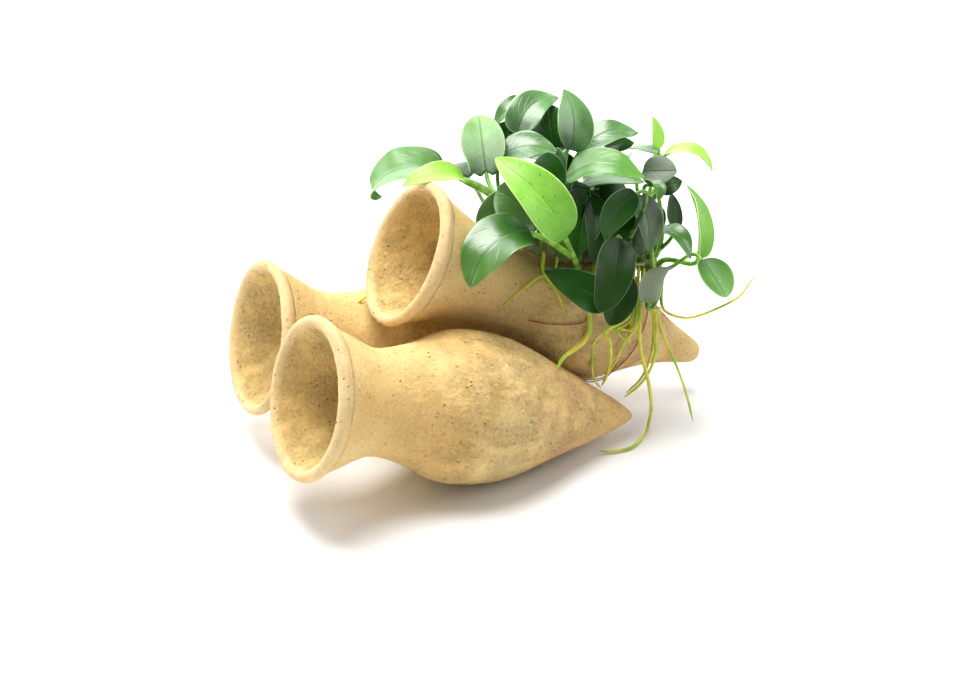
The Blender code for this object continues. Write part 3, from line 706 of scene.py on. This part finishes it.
def clay_finish():
    """Unglazed buff clay: sandy grain, drag marks, pinholes, a stained belly, painted shade in the hollow
    and a smooth lip.
    """
    material, shader, start = finish_of("clay")
    spot = coordinates(start)
    along = written(start, "along")
    hollow = written(start, "hollow")
    dragged = start.node("ShaderNodeMapping", {"Vector": spot, "Scale": (0.22, 1.0, 1.0)})
    broad = spot.noise(30, 2)
    patchy = spot.noise(8, 4, 0.65)
    grain = spot.noise(1.2, 5, 0.8)
    coarse = spot.noise(2.8, 4, 0.75)
    drag = dragged.noise(2.0, 4, 0.7)
    belly = along.between(*BELLY_COMES) * (1 - along.between(*BELLY_GOES))
    rough = (belly * 0.7 + hollow * 0.55 + 0.25) * patchy.between(0.34, 0.62)
    pit = (1 - spot.cells(2.6).between(0.07, 0.15)) * (patchy.between(0.42, 0.58) * 0.8 + 0.2)
    small_pit = (1 - spot.cells(1.2).between(0.06, 0.2)) * rough
    # On the belly a real stain; in the hollow painted shade, darkening the inside of the amphora.
    stain_and_hollow_shade = (spot.noise(13, 3).between(0.5, 0.68) * belly + hollow * 0.6) * 0.5
    pink = spot.noise(15, 2).between(0.46, 0.62) * along.between(*PINK_COMES)
    lip = (1 - along.between(*LIP_GOES)) * (1 - hollow)
    crease = (1 - abs(along - CREASE).between(0.1, 0.7)) * (1 - hollow) * patchy.between(0.3, 0.5)
    colour = start.blend(broad.between(0.35, 0.7), CLAY_COLOURS["pale"], CLAY_COLOURS["warm"])
    for factor, name in ((stain_and_hollow_shade, "stain_and_hollow_shade"),
                         (pink * 0.55, "pink"),
                         (lip * 0.55, "lip"),
                         (rough * (1 - coarse.between(0.34, 0.46)) * 0.12, "lump"),
                         (rough * drag.between(0.55, 0.64) * 0.3, "scratch"),
                         ((rough * 0.4 + 0.2) * grain.between(0.53, 0.6), "sand"),
                         ((rough * 0.28 + 0.2) * (1 - grain.between(0.40, 0.47)), "grit"),
                         (pit * 0.85 + small_pit * 0.5, "pit"),
                         (crease * 0.35, "crease")):
        colour = colour.mix(factor, CLAY_COLOURS[name])
    relief = (grain * 1.2 + coarse * 0.5) * (rough * 0.8 + 0.35) - drag * (rough * 0.5 + 0.1)
    relief = relief - pit * 0.7 - small_pit * 0.4 - crease * 0.5
    feed(shader, colour, 0.9 - grain * 0.15, relief, 1.3, 1.0, 0.2)
    return material


def paler(colour, by, lift):
    """The colour times `by`, and then raised by `lift`."""
    return tuple(min(1.0, value * by + lift) for value in colour)


def leaf_finish(look, upper):
    """Leathery leaf: faint veins that sweep forward from the midrib, and a pale thin margin."""
    base, tip, gloss, shine = LEAF_COLOURS[look]
    material, shader, start = finish_of("leaf_" + look + ("_upper" if upper else "_under"))
    chart = coordinates(start, "UV")
    spot = coordinates(start)
    along = chart.part("X")
    across = abs(chart.part("Y") * 2 - 1)
    wobble = spot.noise(5, 2)
    ribs = start.reckon("PINGPONG", (along - across * VEIN_SLANT + wobble * 0.05) * VEINS, 0.5) * 2
    vein = ribs.between(0.7, 1.0) * (1 - across.between(0.7, 0.95)) * wobble.between(0.35, 0.6)
    midrib = 1 - across.between(0.0, 0.07)
    margin = across.between(0.925, 0.985)
    blotch = spot.noise(6, 3)
    fine = spot.noise(0.8, 3)
    # From the base colour to the tip colour; in some looks the lighter tip is painted sheen, and in one
    # the darker base is painted shade.
    colour = start.blend(along * 0.95 + blotch * 0.6 - 0.35, base, tip)
    colour = colour.mix(vein * 0.09, paler(tip, 1.35, 0.01))
    colour = colour.mix(midrib * 0.35, paler(base, 1.5, 0.008))
    colour = colour.mix(fine.between(0.62, 0.72) * 0.18, paler(base, 0.6, 0))
    if look == "bright":
        marks = start.node("ShaderNodeMapping", {"Vector": spot, "Rotation": (0.3, 0.5, 0.4),
                                                 "Scale": (0.5, 0.13, 0.5)}).noise(0.5, 2)
        colour = colour.mix(marks.between(0.67, 0.70) * 0.7, LEAF_MARKS)
    if not upper:
        colour = colour.mix(0.4, paler(tip, 1.2, 0.03))
    colour = colour.mix(margin * 0.7, paler(tip, 1.5, 0.075))
    roughness = blotch * 0.14 + (gloss if upper else gloss + 0.15)
    relief = blotch * 0.9 - vein * 0.22 - midrib * 0.8 + fine * 0.1
    feed(shader, colour, roughness, relief, 0.22, 0.7, shine if upper else shine * 0.5)
    return material


def plain_finish(name):
    """Stalk, rhizome, root or thread, by its row in PLAIN."""
    look = PLAIN[name]
    material, shader, start = finish_of(name)
    spot = coordinates(start)
    size, detail, low, high = look.clouds
    clouds = spot.noise(size, detail)
    colour = start.blend(clouds.between(low, high), look.one, look.other)
    if look.spots:
        size, detail, low, high, strength = look.spots
        colour = colour.mix(spot.noise(size, detail).between(low, high) * strength, look.third)
    size, detail, depth, strength = look.relief
    feed(shader, colour, look.rough + clouds * look.more, spot.noise(size, detail), depth, strength,
         look.shine)
    return material


def floor_finish():
    """Pale studio floor, hardly uneven in tone."""
    material, shader, start = finish_of("studio_floor")
    shade = coordinates(start).noise(900, 2)
    colour = start.blend(shade, (0.86, 0.86, 0.87), (0.88, 0.88, 0.885))
    colour.tree.links.new(colour.socket, shader.inputs["Base Color"])
    shader.inputs["Roughness"].default_value = 0.9
    shader.inputs["Specular IOR Level"].default_value = 0.1
    return material


def rings_of(amphora):
    """The amphora's rings, from the point over the lip to the hollow's end."""
    centre = amphora.rim - LIP
    angles = [math.pi * i / LIP_STEPS - LIP_LEAN for i in range(LIP_STEPS + 1)]
    lip = [(LIP - LIP * math.sin(a), centre + LIP * math.cos(a)) for a in angles]
    out = outline_curve([lip[0], *amphora.outline, (amphora.length, 0.0)], OUTSIDE_STEPS)
    into = outline_curve([lip[-1], *inside(amphora)], INSIDE_STEPS)
    return ([Ring(p.x, p.y, False) for p in reversed(out[1:-1])] + [Ring(s, r, False) for s, r in lip]
            + [Ring(p.x, p.y, True) for p in into[1:-1]])


def draw_out(reach):
    """Carry what is picked on along the axis, in millimetres."""
    bpy.ops.mesh.extrude_region_move(TRANSFORM_OT_translate={"value": (reach * MM, 0, 0)})


def draw_up(amphora, rings):
    """Draw the clay up ring by ring from its point, over the lip and down into the hollow."""
    first = rings[0]
    obj = add(bpy.ops.mesh.primitive_circle_add, amphora.name + "_clay", vertices=AMPHORA_SIDES,
              radius=first.radius * MM, location=(first.along * MM, 0, 0), rotation=(0, math.pi / 2, 0))
    edit(obj)
    pick_all()
    for ring, following in zip(rings, rings[1:]):
        draw_out(following.along - ring.along)
        wider = following.radius / ring.radius
        bpy.ops.transform.resize(value=(1, wider, wider), center_override=(following.along * MM, 0, 0))
    draw_out(HOLLOW_END - rings[-1].along)
    bpy.ops.mesh.merge(type="CENTER")
    pick(obj, lambda corner: corner.index < AMPHORA_SIDES)
    draw_out(amphora.length - first.along)
    bpy.ops.mesh.merge(type="CENTER")
    pick_all()
    bpy.ops.mesh.normals_make_consistent()
    done()
    return obj


def mark(obj, rings):
    """Write on each corner its distance from the mouth, whether it's inside, and how rough it is."""
    lip_end = sum(1 for ring in rings if not ring.deep) * AMPHORA_SIDES
    hollow_end = len(rings) * AMPHORA_SIDES + 1
    rough = obj.vertex_groups.new(name="rough")
    reaches = [corner.co.x / MM for corner in obj.data.vertices]
    depths = [1.0 if lip_end <= i < hollow_end else 0.0 for i in range(len(reaches))]
    for i, (along, deep) in enumerate(zip(reaches, depths)):
        fade = min((along - ROUGH_FROM) / ROUGH_FADE, (ROUGH_TO - along) / ROUGH_FADE)
        weight = HOLLOW_ROUGH if deep else min(1.0, max(LEAST_ROUGH, fade))
        rough.add([i], weight, "REPLACE")
    for name, values in (("along", reaches), ("hollow", depths)):
        obj.data.attributes.new(name, "FLOAT", "POINT").data.foreach_set("value", values)


def throw(amphora, clay):
    """An amphora with its clay's lumps and grit in the mesh, cut level at the ground."""
    rings = rings_of(amphora)
    obj = draw_up(amphora, rings)
    mark(obj, rings)
    apply(obj, "SUBSURF", levels=2, render_levels=2)
    settle(obj, placement(amphora))
    press(obj, "thrown", 28, 1, 0.7)
    press(obj, "pressed", 7, 2, 0.35)
    press(obj, "gritty", 1.5, 3, 0.8, vertex_group="rough")
    edit(obj)
    pick_all()
    bpy.ops.mesh.bisect(plane_co=(0, 0, GROUND_CUT * MM), plane_no=(0, 0, 1), use_fill=True,
                        clear_inner=True)
    done()
    choose(obj)
    bpy.ops.object.shade_smooth()
    dress(obj, clay)
    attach(obj, "root")
    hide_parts(amphora.name)


Lie = namedtuple("Lie", "base tip ahead up side length")


def lie_of(leaf):
    """How a blade lies: its ends, the ways ahead, up and to its side, and its length."""
    base, tip = place(*leaf.base), place(*leaf.tip)
    ahead = tip - base
    length = ahead.length
    ahead.normalize()
    up = Vector(leaf.faces)
    up = (up - up.dot(ahead) * ahead).normalized()
    return Lie(base, tip, ahead, up, ahead.cross(up), length)


def along_blade(leaf, t):
    """Point of the midrib at the part t of its length."""
    lie = lie_of(leaf)
    middle = (lie.base + lie.tip) / 2 + 2 * lie.length * (leaf.arch * lie.up + leaf.sweep * lie.side)
    return lie.base * (1 - t) ** 2 + middle * 2 * t * (1 - t) + lie.tip * t ** 2


def blade_length(leaf):
    points = [along_blade(leaf, i / LENGTH_STEPS) for i in range(LENGTH_STEPS + 1)]
    return sum((b - a).length for a, b in zip(points, points[1:]))


def sets_off(leaf):
    """The way the midrib starts at the blade's base."""
    return (along_blade(leaf, MIDRIB_STARTS) - place(*leaf.base)).normalized()


def half_width(width, t, point):
    """Half the blade's width at the part t of its length."""
    widest = BASE_ROUNDNESS / (BASE_ROUNDNESS + point)
    return width / 2 * (t / widest) ** BASE_ROUNDNESS * ((1 - t) / (1 - widest)) ** point


def cut_blade(leaf, habit):
    """A flat sheet, drawn in row by row to the leaf's outline and bent along its midrib."""
    length = blade_length(leaf)
    obj = add(bpy.ops.mesh.primitive_grid_add, "blade", x_subdivisions=BLADE_ROWS,
              y_subdivisions=BLADE_COLUMNS, size=1, location=(0.5, 0, 0))
    edit(obj)
    start = [corner.co.copy() for corner in bmesh.from_edit_mesh(obj.data).verts]
    for column in range(BLADE_COLUMNS // 2 + 1):
        v = 1 - 2 * column / BLADE_COLUMNS
        pick(obj, lambda corner: abs(abs(2 * start[corner.index].y) - v) < SAME)
        bpy.ops.transform.translate(value=(0, 0, (FOLD_MORE + leaf.fold) * v ** EDGEWARDS / 2))
    for row in range(BLADE_ROWS + 1):
        at = row / BLADE_ROWS
        # Rows come closer together towards both ends.
        t = min(max(at - math.sin(2 * math.pi * at) / (4 * math.pi), 0.0), 1.0)
        half = max(half_width(leaf.width, t, habit["point"]), NARROWEST) * MM
        ahead, down = rolled(t, habit["curl"], length)
        pick(obj, lambda corner: abs(start[corner.index].x - at) < SAME)
        bpy.ops.transform.resize(value=(1, 2 * half, 2 * half), center_override=(at, 0, 0))
        bpy.ops.transform.translate(value=(ahead - at, 0, -down))
    if habit["lobes"]:
        notch(obj, start, leaf, habit["lobes"] * MM)
    done()
    margin = obj.vertex_groups.new(name="margin")
    for i, point in enumerate(start):
        margin.add([i], abs(2 * point.y) ** EDGEWARDS, "REPLACE")
    bend(obj, leaf)
    return obj


def rolled(t, curl, length):
    """How far on and how far down a point of the midrib lies, where the tip rolls under."""
    rest = t - CURL_STARTS
    if not curl or rest <= 0:
        return t * length, 0.0
    full_turn = math.radians(curl)
    radius = (1 - CURL_STARTS) * length / full_turn
    turned = full_turn * rest / (1 - CURL_STARTS)
    return CURL_STARTS * length + radius * math.sin(turned), radius * (1 - math.cos(turned))


def notch(obj, start, leaf, lobes):
    """Draw the blade's base back on both sides of the stalk, so that it is heart-shaped."""
    for row in range(NOTCH_ROWS):
        fade = (1 - row / NOTCH_ROWS) ** NOTCH_FADE
        at = row / BLADE_ROWS
        for column in range(BLADE_COLUMNS + 1):
            u = 2 * column / BLADE_COLUMNS - 1
            pick(obj, lambda corner: abs(start[corner.index].x - at) < SAME
                 and abs(2 * start[corner.index].y - u) < SAME)
            back = lobes * fade * math.sin(math.pi * min(1.0, abs(u) * LOBE_REACH)) ** LOBE_ROUNDING
            bpy.ops.transform.translate(value=(-back, u * NOTCH_WIDTH * leaf.width * MM * fade, 0))


def bend(obj, leaf):
    """Lay the flat blade along its midrib's curve, then stand it at its place."""
    lie = lie_of(leaf)
    rail = add(bpy.ops.curve.primitive_bezier_curve_add, "rail")
    rail.data.twist_mode = "Z_UP"
    first, last = rail.data.splines[0].bezier_points
    for knot in (first, last):
        knot.handle_left_type = knot.handle_right_type = "FREE"
    middle = Vector((lie.length / 2, -2 * lie.length * leaf.sweep, 2 * lie.length * leaf.arch))
    end = Vector((lie.length, 0, 0))
    first.co = (0, 0, 0)
    first.handle_left = middle * -RAIL_BACK_HANDLE
    first.handle_right = middle * RAIL_HANDLE
    last.co = end
    last.handle_left = end + (middle - end) * RAIL_HANDLE
    last.handle_right = end + (end - middle) * RAIL_HANDLE
    rail.data.resolution_u = RAIL_STEPS
    rail.data.use_deform_bounds = True
    apply(obj, "CURVE", object=rail)
    bpy.data.objects.remove(rail)
    axes = Matrix((lie.ahead, -lie.side, lie.up)).transposed().to_4x4()
    settle(obj, Matrix.Translation(lie.base) @ axes)


def bezier(a, b, c, d, t):
    return a * (1 - t) ** 3 + b * 3 * t * (1 - t) ** 2 + c * 3 * t ** 2 * (1 - t) + d * t ** 3


def midrib_of(leaf, habit):
    """Points below the blade from its base to its tip, each with the midrib's radius there."""
    lie = lie_of(leaf)
    ribs = []
    for i in range(MIDRIB_POINTS):
        t = i / MIDRIB_POINTS
        if habit["curl"] and t > CURL_STARTS - MIDRIB_STOPS:
            break
        ahead = (along_blade(leaf, min(1, t + MIDRIB_STEP))
                 - along_blade(leaf, max(0, t - MIDRIB_STEP)))
        below = ahead.cross(-lie.side).normalized()
        if below.dot(lie.up) > 0:
            below = -below
        radius = habit["stalk"] * MIDRIB_SHARE * (1 - t) ** MIDRIB_TAPER + MIDRIB_THINNEST
        ribs.append((along_blade(leaf, t) + below * (radius + MIDRIB_GAP) * MM, radius))
    return ribs


def grow_stalk(leaf, habit):
    """The stalk from the rhizome to the blade, and on below the blade as its midrib."""
    foot, out = rhizome_at(leaf.along, leaf.around)
    if habit["foot"]:
        foot = on_top(*habit["foot"])
    reach = (place(*leaf.base) - foot).length
    ribs = midrib_of(leaf, habit)
    meets = ribs[0][0]
    points = []
    radii = []
    for i in range(STALK_POINTS):
        t = i / STALK_POINTS
        points.append(bezier(foot - out * STALK_SUNK * MM, foot + out * reach * STALK_LEAVES,
                             meets - sets_off(leaf) * reach * STALK_ARRIVES, meets, t))
        sheath = 1.0 + SHEATH * max(0.0, 1 - t / SHEATH_LENGTH)
        radii.append(habit["stalk"] * sheath * (1 - STALK_TAPER * t))
    points += [point for point, radius in ribs]
    radii += [radius for point, radius in ribs]
    return strand("stalk", points, radii, STALK_SIDES)


def grow(leaf, paints, stands_for_node=True):
    """A leaf: its blade, and the stalk that carries it and runs on below it as the midrib."""
    habit = {**HABIT, **LEAF_HABIT.get(leaf.name, {})}
    if leaf.name in BLUNT:
        habit["point"] = BLUNT_POINT
    look = habit["look"] or leaf.tone
    skins = (paints["upper_" + look], paints["under_" + look],
             paints["young_stalk" if leaf.name in YOUNG else "stalk"])
    blade = cut_blade(leaf, habit)
    press(blade, "wavy", 9, 0, habit["wave"] * WAVE_HEIGHT, vertex_group="margin")
    dress(blade, *skins)
    apply(blade, "SOLIDIFY", thickness=BLADE_THICKNESS * MM, offset=-1, material_offset=UNDER_SIDE,
          material_offset_rim=0)
    apply(blade, "SUBSURF", levels=1, render_levels=1)
    stalk = grow_stalk(leaf, habit)
    dress(stalk, *skins)
    lie = lie_of(leaf)
    start = sets_off(leaf)
    for face in stalk.data.polygons:
        way = face.center - lie.base
        below_blade = way.dot(start) > MIDRIB_BLENDS * lie.length and way.length < lie.length
        face.material_index = UNDER_SIDE if below_blade else STALK_SIDE
    piece = join("anubias_leaf_" + leaf.name, blade, stalk)
    choose(piece)
    bpy.ops.object.shade_smooth()
    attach(piece, "root")
    if stands_for_node:
        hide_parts("leaf_" + leaf.name)
    "leaf_" + leaf.tone


def grow_rhizome(paint):
    line = smooth(RHIZOME_LINE, RHIZOME_STEPS)
    sizes = smooth([(knot.radius, 0, 0) for knot in RHIZOME], RHIZOME_STEPS)
    radii = [size.x * (1 + COARSE_KNOBS * math.sin(i * 1.9) + FINE_KNOBS * math.sin(i * 3.1))
             for i, size in enumerate(sizes)]
    piece = strand("anubias_rhizome", line, radii, 16)
    apply(piece, "SUBSURF", levels=1, render_levels=1)
    press(piece, "knobs", 2.2, 2, 0.9)
    dress(piece, paint)
    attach(piece, "root")
    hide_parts("rhizome")


def grow_root(root, paint, node=None):
    foot, out = rhizome_at(root.along, root.around)
    route = [foot + out * ROOT_RISE * MM, *[on_top(*p) for p in root.on_clay],
             *[place(*p) for p in root.free]]
    line = [foot - out * ROOT_SUNK * MM, *smooth(route, ROOT_STEPS)]
    radii = []
    for i in range(len(line)):
        t = i / (len(line) - 1)
        end = max(0, (t - ROOT_POINT_STARTS) / ROOT_POINT_LENGTH)
        radii.append(root.radius * (ROOT_AT_FOOT - ROOT_TAPER * t) * (1 - ROOT_POINT * end ** 2))
    piece = strand("anubias_root_" + root.name, line, radii, ROOT_SIDES)
    press(piece, "kinks", 5, 1, 0.2)
    dress(piece, paint)
    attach(piece, "root")
    if node:
        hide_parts(node)


def drop_scrap(paint):
    """A scrap of root that has come off and lies on the rear amphora's neck."""
    points = smooth([place(*p) for p in SCRAP], SCRAP_STEPS)
    radii = [SCRAP_RADIUS * (1 - SCRAP_TAPER * i / len(points)) for i in range(len(points))]
    piece = strand("anubias_root_scrap", points, radii, ROOT_SIDES)
    dress(piece, paint)
    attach(piece, "root")


def twist(line, turn):
    """Points of one ply about the thread's line, which starts at the angle `turn`."""
    across = (line[1] - line[0]).orthogonal().normalized()
    walked = 0.0
    points = []
    for a, b in zip(line, line[1:]):
        ahead = (b - a).normalized()
        across = (across - across.dot(ahead) * ahead).normalized()
        other = ahead.cross(across)
        steps = max(1, round((b - a).length / (PLY_PITCH * MM / PLY_STEPS)))
        for i in range(steps):
            here = walked + (b - a).length * i / steps
            angle = turn + 2 * math.pi * here / (PLY_PITCH * MM)
            points.append(a.lerp(b, i / steps) + (across * math.cos(angle) + other * math.sin(angle))
                          * PLY_RADIUS * PLY_SPREAD * MM)
        walked += (b - a).length
    return points


def wind_thread(paint):
    """Two plies twisted about each other along the thread's way round the amphora."""
    line = smooth([on_top(*p) for p in THREAD], THREAD_STEPS)
    plies = []
    for turn in (0, math.pi):
        points = twist(line, turn)
        plies.append(strand("ply", points, [PLY_RADIUS] * len(points), PLY_SIDES))
    piece = join("tying_thread", *plies)
    dress(piece, paint)
    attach(piece, "root")
    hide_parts("thread")


def stand(name, what, where, look):
    """Set up a camera or lamp, looking along `look`."""
    obj = bpy.data.objects.new(name, what)
    bpy.context.scene.collection.objects.link(obj)
    obj.location = where
    obj.rotation_euler = look.to_track_quat("-Z", "Y").to_euler()
    return obj


def set_camera():
    camera = bpy.data.cameras.new("camera")
    camera.sensor_width = CAMERA_SENSOR
    camera.lens = CAMERA_LENS
    camera.clip_start = CAMERA_NEAREST
    bpy.context.scene.camera = stand("camera", camera, place(*CAMERA_STANDS), Vector(CAMERA_LOOKS))


def lay_floor():
    floor = add(bpy.ops.mesh.primitive_plane_add, "studio_floor", size=FLOOR_SIZE,
                location=(0, 0, FLOOR_HEIGHT))
    dress(floor, floor_finish())


def hang_lamps():
    world = bpy.data.worlds.new("studio")
    bpy.context.scene.world = world
    world.use_nodes = True
    sky = world.node_tree.nodes["Background"]
    sky.inputs["Color"].default_value = SKY_TINT
    sky.inputs["Strength"].default_value = SKY_STRENGTH
    for name, where, size, power, tint in LAMPS:
        lamp = bpy.data.lights.new(name, "AREA")
        lamp.shape = "DISK"
        lamp.size = size
        lamp.energy = power
        lamp.color = tint
        stand(name, lamp, where, Vector(LAMPS_LOOK_AT) - Vector(where))


def set_studio():
    bpy.context.scene.view_settings.view_transform = "Standard"
    bpy.context.scene.view_settings.look = "None"
    set_camera()
    lay_floor()
    hang_lamps()


def build():
    set_studio()
    clay = clay_finish()
    paints = {name: plain_finish(name) for name in PLAIN}
    for look in LEAF_COLOURS:
        paints["upper_" + look] = leaf_finish(look, True)
        paints["under_" + look] = leaf_finish(look, False)
    for leaf in LEAVES:
        grow(leaf, paints)
    for leaf in SHADE_LEAVES:
        grow(leaf, paints, stands_for_node=False)
    grow_rhizome(paints["rhizome"])
    for root in ROOTS:
        grow_root(root, paints["root"], "root_" + root.name)
    for root in FINE_ROOTS:
        grow_root(root, paints["root"])
    drop_scrap(paints["root"])
    wind_thread(paints["thread"])
    for amphora in (FRONT, REAR, TOP):
        throw(amphora, clay)


build()
